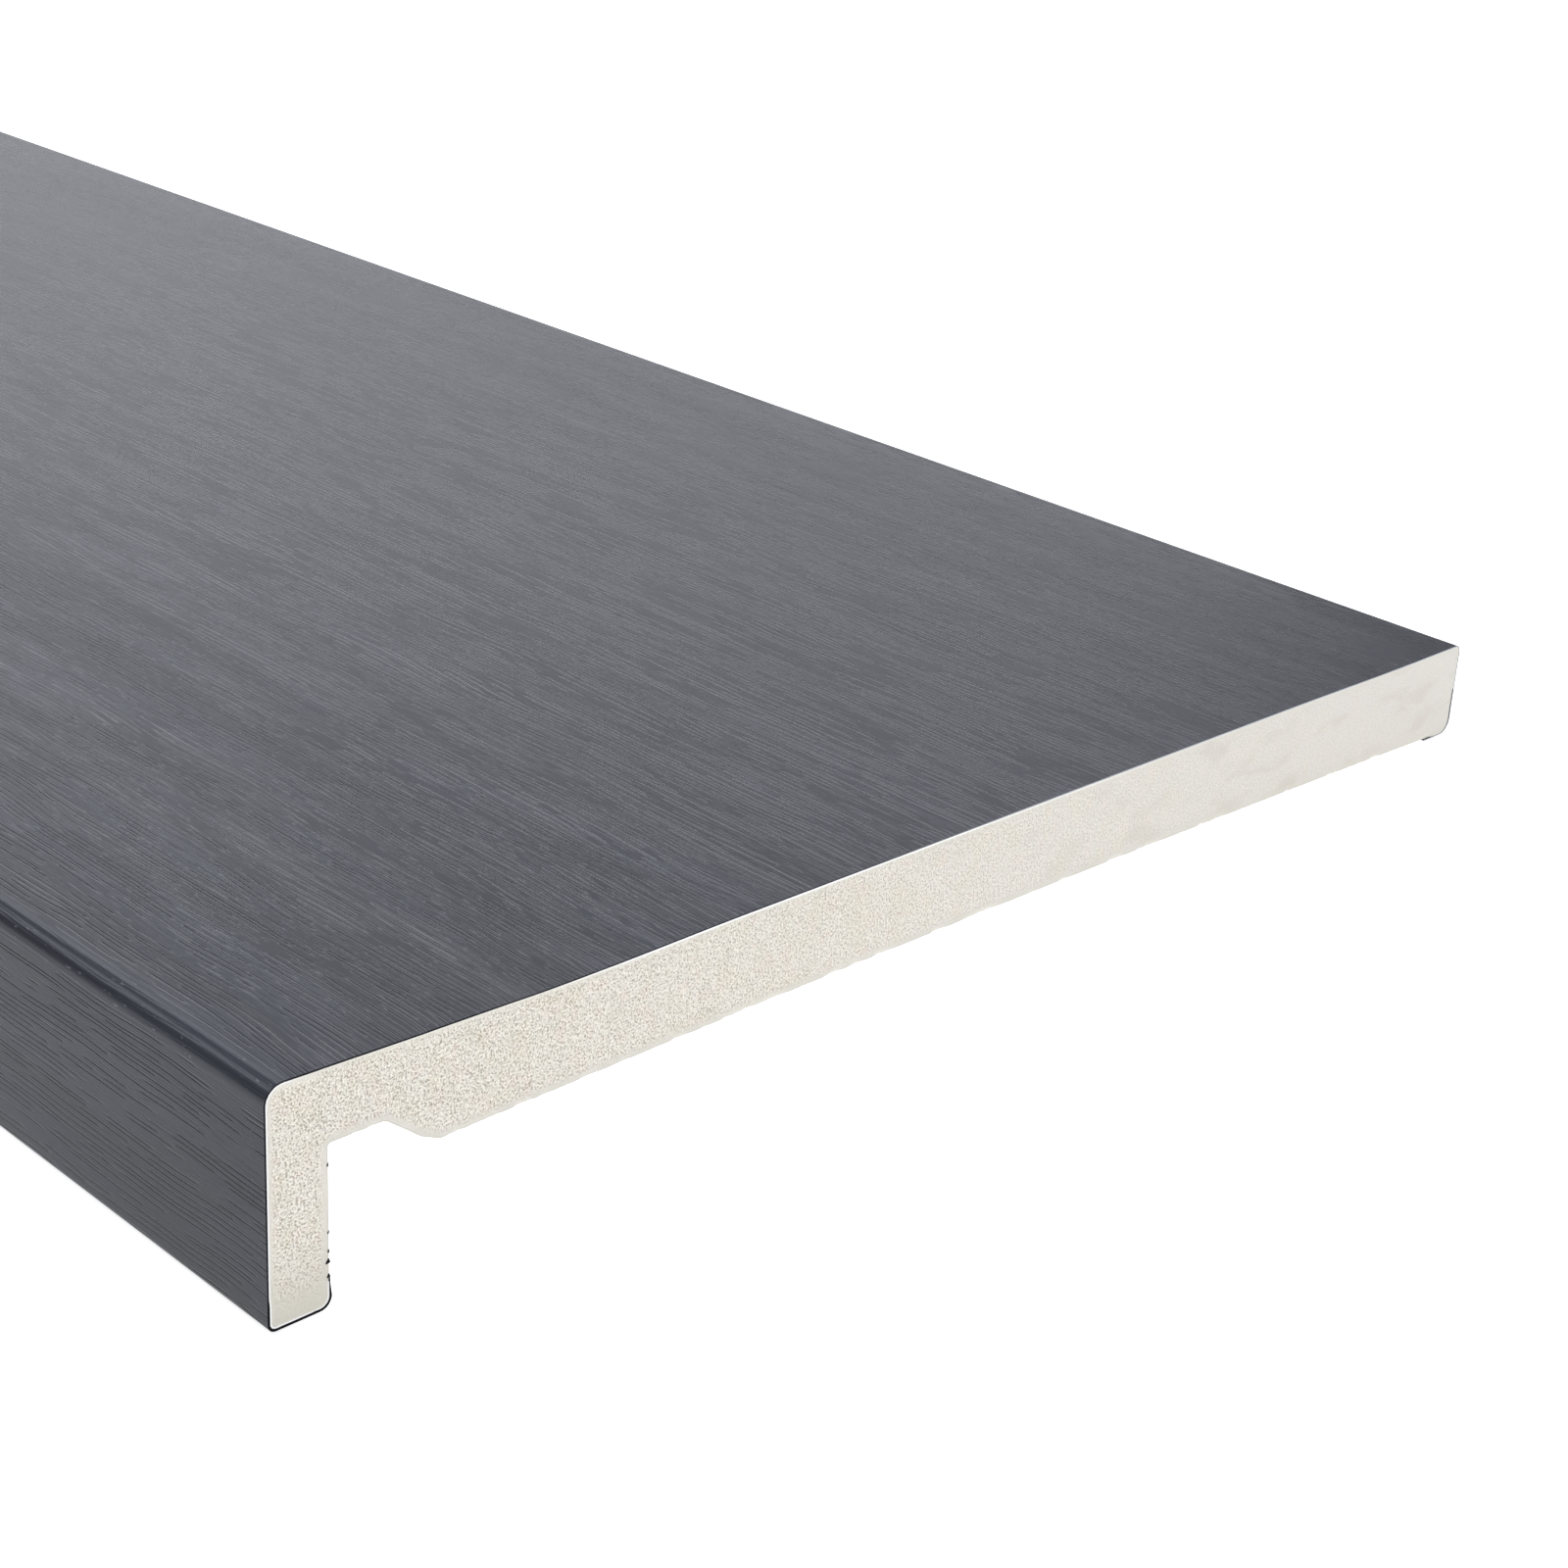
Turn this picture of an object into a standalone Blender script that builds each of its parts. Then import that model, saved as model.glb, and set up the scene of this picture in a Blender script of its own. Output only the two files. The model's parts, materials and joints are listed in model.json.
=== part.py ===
"""Replacement fascia board: an L-shaped board of foamed PVC with a woodgrain foil wrapped round its face.

Lengths are in metres. The section is drawn in (y, z) with the leg's outer face on y = 0 and the leg's toe on
z = 0, and it runs along X. The finished board is tipped back until it lies on its toe and its back edge.
"""
import bpy
from math import atan2, ceil, cos, pi, radians, sin, sqrt, tan
from mathutils import Matrix, Vector

# Whole board, measured over the foil; the height is from the toe to the flat of the face
BOARD_LENGTH = 2.5
BOARD_WIDTH = 0.300
BOARD_HEIGHT = 0.041
# Near the leg the face climbs a little to the fold
FOLD_RISE = 0.0012
FOLD_RISE_WIDTH = 0.040
FOLD_RISE_RADIUS = 0.8
# Face to back at the middle of the width, where the hollow back is deepest
BOARD_THICKNESS = 0.018
HOLLOW_DEPTH = 0.0012
LEG_THICKNESS = 0.0112

# Recess behind the leg that houses the edge of a soffit board, and the two slopes that lead out of it
RECESS_WIDTH = 0.0106
RECESS_DEPTH = 0.0069
UPPER_SLOPE = radians(38)
LOWER_SLOPE = radians(24)
LOWER_SLOPE_HEIGHT = 0.0016
# Flat strip between the foot of the slopes and the hollow
SLOPE_LAND = 0.003

# Foil, and the clearance it keeps all over the board under it
FOIL_THICKNESS = 0.0002
FOIL_CLEARANCE = 0.0003
# How far the foil turns back: under the board's back edge, and up the inside of the leg above the toe
FOIL_BACK_RETURN = 0.008
FOIL_LEG_RETURN = 0.005
# Flat strip of bare board between the foil's edge and the hollow
FOIL_LAND = 0.002

# Rounded edges under the foil's outer side
FOLD_RADIUS = 0.0034
TOE_OUTER_RADIUS = 0.0015
TOE_INNER_RADIUS = 0.0022
BACK_TOP_RADIUS = 0.0015
BACK_BOTTOM_RADIUS = 0.003
# Rounded corners of the bare board
RECESS_CORNER_RADIUS = 0.0007
RECESS_EDGE_RADIUS = 0.002
SLOPE_KNEE_RADIUS = 0.004
SLOPE_FOOT_RADIUS = 0.0015

# Fineness of the round stretches; an odd number of hollow facets leaves a level one in the middle
ARC_STEP = radians(11.25)
HOLLOW_FACETS = 9

# Levels and places that follow from the sizes above
FOIL_LIFT = FOIL_CLEARANCE + FOIL_THICKNESS
BACK_LEVEL = BOARD_HEIGHT - BOARD_THICKNESS - HOLLOW_DEPTH
RECESS_LEVEL = BACK_LEVEL + RECESS_DEPTH
RECESS_END = LEG_THICKNESS + RECESS_WIDTH


def fillet(before, corner, after, radius):
    """Points of the arc that rounds a corner. The arc takes at most half of each side that it joins."""
    side_in = before - corner
    side_out = after - corner
    half_angle = side_in.angle(side_out) / 2
    reach = min(radius / tan(half_angle), side_in.length / 2, side_out.length / 2)
    if reach <= 0:
        return [corner]
    start = corner + side_in.normalized() * reach
    centre_way = (side_in.normalized() + side_out.normalized()).normalized()
    centre = corner + centre_way * reach / cos(half_angle)
    sweep = pi - 2 * half_angle
    if side_in.cross(side_out) > 0:
        sweep = -sweep
    steps = ceil(abs(sweep) / ARC_STEP)
    spoke = start - centre
    return [centre + Matrix.Rotation(sweep * step / steps, 2) @ spoke for step in range(steps + 1)]


def rounded(corners, closed):
    """Outline through corners given as (y, z, radius). The ends of an open outline stay sharp."""
    places = [Vector((y, z)) for y, z, radius in corners]
    points = []
    for index, (y, z, radius) in enumerate(corners):
        at_end = index in (0, len(corners) - 1)
        if radius == 0 or (at_end and not closed):
            points.append(places[index])
        else:
            after = places[(index + 1) % len(places)]
            points += fillet(places[index - 1], places[index], after, radius)
    return points


def covered_corners(offset):
    """Corners under the foil, from the back edge over the face to the toe, moved out by offset."""
    inset = FOIL_LIFT - offset
    back = BOARD_WIDTH - inset
    face = BOARD_HEIGHT - inset
    return [
        (back, BACK_LEVEL - offset, BACK_BOTTOM_RADIUS - inset),
        (back, face, BACK_TOP_RADIUS - inset),
        (FOLD_RISE_WIDTH, face, FOLD_RISE_RADIUS),
        (inset, face + FOLD_RISE, FOLD_RADIUS - inset),
        (inset, inset, TOE_OUTER_RADIUS - inset),
        (LEG_THICKNESS + offset, inset, TOE_INNER_RADIUS - inset),
    ]


def slope_corners():
    """Corners of the bare board behind the leg: the recess, its edge, the knee and the foot of the slopes."""
    knee_level = BACK_LEVEL + LOWER_SLOPE_HEIGHT
    knee = RECESS_END + (RECESS_LEVEL - knee_level) / tan(UPPER_SLOPE)
    foot = knee + LOWER_SLOPE_HEIGHT / tan(LOWER_SLOPE)
    return [
        (LEG_THICKNESS, RECESS_LEVEL, RECESS_CORNER_RADIUS),
        (RECESS_END, RECESS_LEVEL, RECESS_EDGE_RADIUS),
        (knee, knee_level, SLOPE_KNEE_RADIUS),
        (foot, BACK_LEVEL, SLOPE_FOOT_RADIUS),
    ]


def hollow_corners(start, end):
    """Shallow arc of the back between two points of its level, as equal facets."""
    half_span = (end - start) / 2
    arc_radius = (half_span**2 + HOLLOW_DEPTH**2) / (2 * HOLLOW_DEPTH)
    corners = []
    for step in range(HOLLOW_FACETS + 1):
        across = half_span * (2 * step / HOLLOW_FACETS - 1)
        rise = sqrt(arc_radius**2 - across**2) - (arc_radius - HOLLOW_DEPTH)
        corners.append((start + half_span + across, BACK_LEVEL + rise, 0))
    return corners


def board_outline():
    """Closed section of the foamed board."""
    slopes = slope_corners()
    foot = slopes[-1][0]
    foil_edge = BOARD_WIDTH - FOIL_BACK_RETURN
    hollow = hollow_corners(foot + SLOPE_LAND, foil_edge - FOIL_LAND)
    return rounded(covered_corners(0) + slopes + hollow, closed=True)


def foil_path(offset):
    """Open section of a foil surface that lies outside the board by offset."""
    first = (BOARD_WIDTH - FOIL_BACK_RETURN, BACK_LEVEL - offset, 0)
    last = (LEG_THICKNESS + offset, FOIL_LEG_RETURN, 0)
    return rounded([first] + covered_corners(offset) + [last], closed=False)


def resting_edge(points):
    """The two points that the section lies on: their line passes lowest under the middle of the width."""
    middle = BOARD_WIDTH / 2

    def level_at_middle(pair):
        low, high = pair
        return low.y + (high.y - low.y) * (middle - low.x) / (high.x - low.x)

    leg_side = [point for point in points if point.x < middle]
    back_side = [point for point in points if point.x > middle]
    return min(((low, high) for low in leg_side for high in back_side), key=level_at_middle)


def place_at_rest(holder):
    """Tip the holder so that the section lies on the floor, with its box centred over the origin."""
    points = foil_path(FOIL_LIFT)
    toe, back_edge = resting_edge(points)
    tilt = atan2(back_edge.y - toe.y, back_edge.x - toe.x)
    tipped = [Matrix.Rotation(-tilt, 2) @ point for point in points]
    middle = (min(point.x for point in tipped) + max(point.x for point in tipped)) / 2
    holder.rotation_euler = (-tilt, 0, 0)
    holder.location = (0, -middle, -min(point.y for point in tipped))


def material(name, colour, roughness):
    made = bpy.data.materials.new(name)
    made.use_nodes = True
    made.diffuse_color = (*colour, 1)
    shader = made.node_tree.nodes["Principled BSDF"]
    shader.inputs["Base Color"].default_value = (*colour, 1)
    shader.inputs["Roughness"].default_value = roughness
    shader.inputs["Metallic"].default_value = 0
    return made


def extruded(name, points, closed, finish, holder, collection):
    """A section drawn in the curve's own plane and extruded along X, filled where it is closed."""
    curve = bpy.data.curves.new(name, "CURVE")
    curve.dimensions = "2D"
    curve.fill_mode = "BOTH" if closed else "NONE"
    curve.resolution_u = 1
    curve.render_resolution_u = 0
    curve.extrude = BOARD_LENGTH / 2
    spline = curve.splines.new("POLY")
    spline.points.add(len(points) - 1)
    for target, point in zip(spline.points, points):
        target.co = (point.x, point.y, 0, 1)
    spline.use_cyclic_u = closed
    spline.use_smooth = False
    curve.materials.append(finish)
    made = bpy.data.objects.new(name, curve)
    made.rotation_euler = (pi / 2, 0, pi / 2)
    made.parent = holder
    collection.objects.link(made)
    return made


def main():
    for old in list(bpy.data.objects):
        bpy.data.objects.remove(old)
    collection = bpy.data.collections.new("fascia_board")
    bpy.context.scene.collection.children.link(collection)
    holder = bpy.data.objects.new("board_at_rest", None)
    collection.objects.link(holder)
    place_at_rest(holder)

    foam = material("foamed_pvc", (0.80, 0.77, 0.70), 0.75)
    extruded("foam_board", board_outline(), True, foam, holder, collection)

    grey = material("anthracite_foil", (0.062, 0.064, 0.073), 0.42)
    foil = extruded("woodgrain_foil", foil_path(FOIL_CLEARANCE), False, grey, holder, collection)
    # The drawn sheet faces the board, so its wall grows from its back
    wall = foil.modifiers.new("foil thickness", "SOLIDIFY")
    wall.thickness = FOIL_THICKNESS
    wall.offset = -1
    wall.use_even_offset = True


main()
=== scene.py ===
"""Fascia board of foamed PVC in a woodgrain foil, dressed for its picture.

Lengths are in metres. The pieces are worked on with the board laid level: X runs along the board, Y from the
leg's outer face, and Z up from the flat of the face, so the back and the leg have negative heights.
"""
import json
from math import pi, radians

import bmesh
import bpy
import numpy as np
from bpy.props import FloatProperty, FloatVectorProperty, PointerProperty
from mathutils import Matrix, Vector, noise

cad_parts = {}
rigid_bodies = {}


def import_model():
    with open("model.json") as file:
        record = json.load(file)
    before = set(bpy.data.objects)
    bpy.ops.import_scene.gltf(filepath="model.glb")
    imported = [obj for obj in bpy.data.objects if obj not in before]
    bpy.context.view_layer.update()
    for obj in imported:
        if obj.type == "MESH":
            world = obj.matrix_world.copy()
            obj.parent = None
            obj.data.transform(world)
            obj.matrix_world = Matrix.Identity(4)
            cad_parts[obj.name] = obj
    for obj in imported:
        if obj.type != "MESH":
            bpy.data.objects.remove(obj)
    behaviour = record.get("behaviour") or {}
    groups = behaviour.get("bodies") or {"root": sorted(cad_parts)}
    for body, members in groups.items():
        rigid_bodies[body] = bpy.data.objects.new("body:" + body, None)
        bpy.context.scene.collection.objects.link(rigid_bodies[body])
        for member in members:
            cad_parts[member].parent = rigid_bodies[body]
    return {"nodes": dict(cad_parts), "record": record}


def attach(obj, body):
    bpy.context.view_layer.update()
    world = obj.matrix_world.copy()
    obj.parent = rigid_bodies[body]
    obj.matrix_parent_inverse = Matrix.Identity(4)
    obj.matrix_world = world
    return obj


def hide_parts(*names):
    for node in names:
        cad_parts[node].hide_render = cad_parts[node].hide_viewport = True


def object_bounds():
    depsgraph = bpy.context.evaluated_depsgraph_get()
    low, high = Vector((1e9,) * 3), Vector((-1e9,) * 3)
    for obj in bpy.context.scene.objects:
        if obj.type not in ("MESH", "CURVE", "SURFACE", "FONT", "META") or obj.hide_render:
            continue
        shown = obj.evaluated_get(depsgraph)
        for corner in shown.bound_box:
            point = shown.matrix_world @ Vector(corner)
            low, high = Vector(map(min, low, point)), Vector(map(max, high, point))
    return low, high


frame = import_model()
cad_low, cad_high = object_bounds()

bl_info = {
    "name": "Fascia Board",
    "version": (1, 0, 0),
    "blender": (4, 5, 0),
    "location": "3D View > Sidebar > Fascia Board",
    "description": "Sawn foamed PVC and embossed foil for a packed fascia board, with its studio",
    "category": "Object",
}

mounts = {mount["name"]: mount for mount in frame["record"]["mounts"]}


def level_frame():
    """Matrix that lays the stored board level, its origin at the leg's outer face and the face's flat."""
    up = Vector(mounts["face"]["axis"])
    across = -Vector(mounts["leg_face"]["axis"])
    turn = Matrix(((1, 0, 0), across, up)).to_4x4()
    leg = Vector(mounts["leg_face"]["pos_m"])
    face = Vector(mounts["face"]["pos_m"])
    return Matrix.Translation((0, -across.dot(leg), -up.dot(face))) @ turn


def level_place(mount):
    """Place of a mount on the level board."""
    return level_frame() @ Vector(mounts[mount]["pos_m"])


MILLIMETRE = 0.001

# Where the foiled inner side of the leg and the middle of the back lie on the level board
LEG_INNER = level_place("soffit_ledge").y
BACK_HEIGHT = level_place("back").z
# A height just under the toe, from which the cells open upwards
BELOW_LEDGE = 0.0042
UNDER_TOE = level_place("soffit_ledge").z - BELOW_LEDGE

# Merging, flattening, shading and selecting
MERGE_DISTANCE = 0.00001
FLAT_ANGLE = radians(0.05)
SHARP_ANGLE = radians(35)
SIDE_NORMAL = 0.9
LONG_EDGE = 1.0
SELECT_MODES = {"faces": "FACE", "edges": "EDGE", "verts": "VERT"}

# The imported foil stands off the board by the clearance; here the two touch
FOIL_CLEARANCE = 0.0003
TOUCH_DISTANCE = 0.0004

# The foil's two edges: their points lie this near them, and this near the leg's inner side
RIM_REACH = 0.0004
RIM_SIDE = 0.002
# The edges' own faces are narrower than this
RIM_WIDTH = RIM_REACH * 0.6
# How uneven the blade left the two edges, and its noise: (steps for each metre, row of the noise)
LEG_RIM_WAVER = 0.0004
BACK_RIM_WAVER = 0.0005
BLADE_NOISE = ((60, 3.5), (190, 7.5))

# Loops across the face, between two distances from the leg, and along the board
FACE_START = 0.02
FACE_END = 0.29
FACE_STATION = 0.010
LENGTH_STATION = 0.010

# Two shallow dips across the face: (distance from the leg, half width, depth)
FACE_DIPS = ((0.064, 0.034, 0.00030), (0.276, 0.034, 0.00020))
# What lies this near the flat of the face dips with it
FACE_WALL = 0.0012

# The saw's cut: spacing of its points, and how far the ends are pushed out before it
CUT_SPACING = 0.0004
CUT_ALLOWANCE = 0.0005
# The block that is cut away: how far it stands out round the section, and its length
CUT_MARGIN = 0.001
CUT_BLOCK = 0.004
# Distance from an end to the loop behind it, and reach of the end's marks
END_BAND = 0.003
END_SHARE = 0.0012

# How far the cut lies behind the saw's plane, and what crumbs and lumps add where the cells are open
CUT_DEPTH = 0.00004
CRUMB_DEPTH = 0.00012
LUMP_DEPTH = 0.00006
# What is added to the lumps' noise, so that most of them go inwards
LUMP_LIFT = 0.5
# Chips in the lower edge: depth, reach from the edge, height above the back, and start past the leg
CHIP_DEPTH = 0.0006
CHIP_REACH = 0.0006
CHIP_HEIGHT = 0.008
CHIP_START = 0.001
# What is added to the chips' noise, so that more of it chips, and how much its small bites count
CHIP_LIFT = 0.05
BITE_SHARE = 0.5
# Noise of the cut: steps for each metre
LUMP_RATE = 420
WAVE_RATE = 260
BITE_RATE = 900

# How open the sawn cells are at a distance from the leg: coarse at the leg, fine at the back edge
OPENNESS_ACROSS = ((0.03, 1.0), (0.12, 0.8), (0.22, 0.3), (0.29, 0.15))
# How deep the closed skin is and the stretch in which cells open behind it, then the same under the
# face, and the same upwards from the toe, where the cells stay partly open
SKIN = 0.0003
SKIN_TO_CORE = 0.0014
FACE_SKIN = 0.0001
FACE_SKIN_TO_CORE = 0.0006
TOE_SKIN = 0.001
TOE_TO_CORE = 0.006
TOE_OPENNESS = 0.4
# Under the face means this near its flat, and this far from the leg's outer face
UNDER_FACE_DEPTH = 0.006
UNDER_FACE_START = 0.010

# Bands of the sawn end, each given as where it is nothing and where it is full. Away from the leg's side:
TOWARDS_BACK = (0.10, 0.24)
# Band where the foil's cut edge gets a painted highlight
EDGE_HIGHLIGHT_SIDE = (0.10, 0.22)
PAST_RECESS = (0.05, 0.08)
NEAR_LEG = (0.07, 0.03)
BESIDE_LEG = (0.012, 0.004)
# Up from the floor:
TOE_DARKENING = (0.016, 0.005)
TOE_RIM = (0.007, 0.005)
# Bands of the foil. Away from the leg's side:
FOLD_ACROSS = (0.008, 0.006)
LEG_ACROSS = (0.0060, 0.0032)
# From the top, and from the near end:
FOLD_UP = (-0.004, -0.0025)
NEAR_CUT = (-0.005, -0.002)

# Grooves: half width as a share of their spacing, and the fine ones' share of the wide ones' sizes
WIDE_HALF = 0.21
FINE_HALF = 0.20
FINE_LENGTH = 0.6
FINE_SPACING = 0.47
FINE_DEPTH = 0.35
# The middle of a groove keeps this share of the spacing clear on both sides of its row
ROW_INSET = 0.25
# How far the noise that breaks the grooves moves from row to row
ROW_SHIFT = 40
ROW_STEP = 3.7
# How much presence adds to that noise, and between which values of it grooves begin
PRESENCE_SHARE = 0.14
GROOVE_BEGINS = (0.50, 0.58)
# How far sideways the rows drift slowly and waver quickly
GRAIN_DRIFT = 0.0040
GRAIN_WAVER = 0.0004

# The flake of foil, a metre in size: its tip is scaled, dropped and all its edges bevelled
TIP_SCALE = (0.5, 1, 0.2)
TIP_DROP = -0.3
FLAKE_BEVEL = 0.07
# Shreds of foil: distance across and height of the middle, width, length and turn
SHREDS = (
    (0.01106, -0.0158, 0.00028, 0.00070, 0.1),
    (0.01108, -0.0275, 0.00026, 0.00060, -0.2),
    (0.01106, -0.0308, 0.00030, 0.00070, 0.1),
    (0.01090, -0.0326, 0.00080, 0.00085, 0.3),
    (0.01100, -0.0352, 0.00065, 0.00070, 0.4),
    (0.01118, -0.0357, 0.00030, 0.00130, 0.1),
    (0.00864, -0.0406, 0.00040, 0.00100, -1.2),
)
SHRED_THICKNESS = 0.0002

# Soft lights: place and aim from the toe at the near end, width, height, power in watts and colour
COOL = (0.86, 0.91, 1.0)
PALE = (0.95, 0.96, 1.0)
WHITE = (1.0, 1.0, 1.0)
LIGHTS = (
    ("overhead", (-0.95, 0.58, 1.1), (-0.95, 0.2, 0), 2.4, 0.46, 15.0, COOL),
    ("fold_strip", (-1.2, -0.43, 0.9), (-1.2, 0, 0), 1.4, 0.35, 8.0, COOL),
    ("backdrop", (-2.75, 1.8, 0.65), (-0.3, 0.1, 0), 3.3, 1.5, 19.5, PALE),
    ("end_fill", (1.3, -0.2, 0.7), (0, 0.15, 0), 0.8, 0.8, 5.0, WHITE),
)
FLOOR_SIZE = 80
FLOOR_COLOUR = (0.85, 0.85, 0.85)

# Names that the pieces and their materials share
GRAIN_MAP = "grain"
SKIN_DEPTH = "skin_depth"
FOIL_DEPTH = "foil_depth"
OPENNESS = "openness"


class FasciaFinish(bpy.types.PropertyGroup):
    """Sizes and colours of the board's surfaces."""

    core_colour: FloatVectorProperty(
        name="Core colour",
        description="Foamed PVC inside a sawn end",
        subtype="COLOR",
        min=0,
        max=1,
        default=(0.815, 0.78, 0.72),
    )
    skin_colour: FloatVectorProperty(
        name="Skin colour",
        description="Smooth skin of the foamed PVC",
        subtype="COLOR",
        min=0,
        max=1,
        default=(0.90, 0.90, 0.89),
    )
    foil_colour: FloatVectorProperty(
        name="Foil colour",
        description="Anthracite of the woodgrain foil",
        subtype="COLOR",
        min=0,
        max=1,
        default=(0.0275, 0.029, 0.041),
    )
    edge_colour: FloatVectorProperty(
        name="Edge colour",
        description="Cut edge of the foil",
        subtype="COLOR",
        min=0,
        max=1,
        default=(0.006, 0.006, 0.008),
    )
    # Painted highlight of the foil's cut edge towards the back
    edge_highlight_colour: FloatVectorProperty(
        name="Edge highlight colour",
        description="Cut edge of the foil towards the back, painted with a highlight of its sheen",
        subtype="COLOR",
        min=0,
        max=1,
        default=(0.48, 0.50, 0.54),
    )
    cell_size: FloatProperty(
        name="Cell size",
        description="Width of an open cell on a sawn end",
        unit="LENGTH",
        default=0.00036,
    )
    cell_depth: FloatProperty(
        name="Cell depth",
        description="How deep the saw leaves the open cells",
        unit="LENGTH",
        default=0.00020,
    )
    grain_length: FloatProperty(
        name="Grain length",
        description="About twice the length of an embossed groove",
        unit="LENGTH",
        default=0.014,
    )
    grain_spacing: FloatProperty(
        name="Grain spacing",
        description="Distance between the rows of embossed grooves",
        unit="LENGTH",
        default=0.0011,
    )
    grain_depth: FloatProperty(
        name="Grain depth",
        description="Depth of an embossed groove",
        unit="LENGTH",
        default=0.000095,
    )
    foil_roughness: FloatProperty(
        name="Foil roughness",
        description="Satin of the foil",
        subtype="FACTOR",
        min=0,
        max=1,
        default=0.34,
    )
    foil_index: FloatProperty(
        name="Foil index",
        description="Refractive index of the foil's lacquer, which sets how strongly it mirrors",
        min=1,
        default=1.345,
    )


class FasciaStudio(bpy.types.PropertyGroup):
    """Camera, room light and floor."""

    camera_offset: FloatVectorProperty(
        name="Camera offset",
        description="From the toe of the leg at the sawn end to the camera",
        unit="LENGTH",
        default=(0.3133, -0.1945, 0.2749),
    )
    aim_offset: FloatVectorProperty(
        name="Aim offset",
        description="From the toe of the leg at the sawn end to the point in the middle of the picture",
        unit="LENGTH",
        default=(-0.0361, 0.1411, 0.0300),
    )
    lens: FloatProperty(
        name="Lens",
        description="Focal length in millimetres",
        default=68.7,
    )
    world_light: FloatProperty(
        name="Room light",
        description="Strength of the light from all round",
        default=0.22,
    )
    floor_glow: FloatProperty(
        name="Floor glow",
        description="Light that the floor gives off by itself",
        default=0.765,
    )


class Signal:
    """An output of a shader's nodes. Sums on it add Math nodes."""

    def __init__(self, shader, socket):
        self.shader = shader
        self.socket = socket

    def part(self, axis):
        """One part of a place."""
        return self.shader.node("SeparateXYZ", {}, {0: self}, axis)

    def combined(self, operation, first, second):
        return self.shader.node("Math", {"operation": operation}, {0: first, 1: second})

    def __add__(self, other):
        return self.combined("ADD", self, other)

    __radd__ = __add__

    def __sub__(self, other):
        return self.combined("SUBTRACT", self, other)

    def __rsub__(self, other):
        return self.combined("SUBTRACT", other, self)

    def __mul__(self, other):
        return self.combined("MULTIPLY", self, other)

    __rmul__ = __mul__


class Shader:
    """A material whose nodes are each made by one call."""

    def __init__(self, name):
        self.material = bpy.data.materials.new(name)
        self.material.use_nodes = True
        self.nodes = self.material.node_tree.nodes
        self.surface = self.nodes["Principled BSDF"]

    def feed(self, socket, value):
        """Link a signal to a socket, or set the socket's own value."""
        if isinstance(value, Signal):
            self.material.node_tree.links.new(value.socket, socket)
        elif socket.type == "RGBA":
            socket.default_value = (*value, 1)
        else:
            socket.default_value = value

    def node(self, kind, settings=None, sockets=None, output=0):
        """A node with its settings made first, then its sockets fed, and the signal of one output."""
        made = self.nodes.new("ShaderNode" + kind)
        for name, value in (settings or {}).items():
            setattr(made, name, value)
        for name, value in (sockets or {}).items():
            self.feed(made.inputs[name], value)
        return Signal(self, made.outputs[output])

    def step(self, value, low, high):
        """Smooth step from 0 at low to 1 at high. It falls where low is above high."""
        bounds = {"Value": value, "From Min": low, "From Max": high}
        if low > high:
            bounds = {"Value": value, "From Min": high, "From Max": low, "To Min": 1.0, "To Max": 0.0}
        return self.node("MapRange", {"interpolation_type": "SMOOTHSTEP"}, bounds)

    def band(self, place, axis, side, ends):
        """Smooth step along an axis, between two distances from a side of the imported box."""
        start, full = ends
        return self.step(place.part(axis), side + start, side + full)

    def ramp(self, value, start, end):
        """Straight rise from 0 at start to 1 at end."""
        bounds = {"Value": value, "From Min": start, "From Max": end}
        return self.node("MapRange", {"interpolation_type": "LINEAR"}, bounds)

    def greater(self, first, second):
        """The greater of two signals."""
        return self.node("Math", {"operation": "MAXIMUM"}, {0: first, 1: second})

    def blend(self, share, first, second):
        """Colour between two colours."""
        return self.node("Mix", {"data_type": "RGBA"}, {0: share, 6: first, 7: second}, 2)

    def layered(self, colour, layers):
        """A colour under shades of itself, each given as how well it covers and its share of each part."""
        top = colour
        for cover, shares in layers:
            top = self.blend(cover, top, shaded(colour, shares))
        return top

    def attribute(self, name):
        return self.node("Attribute", {"attribute_name": name}, output="Fac")

    def clouds(self, place, sizes, detail):
        """Noise from 0 to 1 whose features have the given sizes."""
        scaled = self.node("Mapping", {}, {"Vector": place, "Scale": per_size(sizes)})
        return self.noise(scaled, detail)

    def noise(self, place, detail):
        sockets = {"Vector": place, "Scale": 1.0, "Detail": detail}
        return self.node("TexNoise", {"noise_dimensions": "3D"}, sockets)

    def bump(self, height, distance, under=None):
        sockets = {"Height": height, "Distance": distance}
        if under is not None:
            sockets["Normal"] = under
        return self.node("Bump", {}, sockets)

    def finish(self, **sockets):
        """Feed the surface and give the material."""
        for name, value in sockets.items():
            self.feed(self.surface.inputs[name.replace("_", " ")], value)
        return self.material


def per_size(sizes):
    """The scale that gives features their size on each axis."""
    return tuple(1 / size for size in sizes)


def even(size):
    """The same size on all axes."""
    return (size, size, size)


def shaded(colour, shares):
    """A colour with each part multiplied, and kept under 1."""
    return tuple(min(1, part * share) for part, share in zip(colour, shares))


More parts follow.
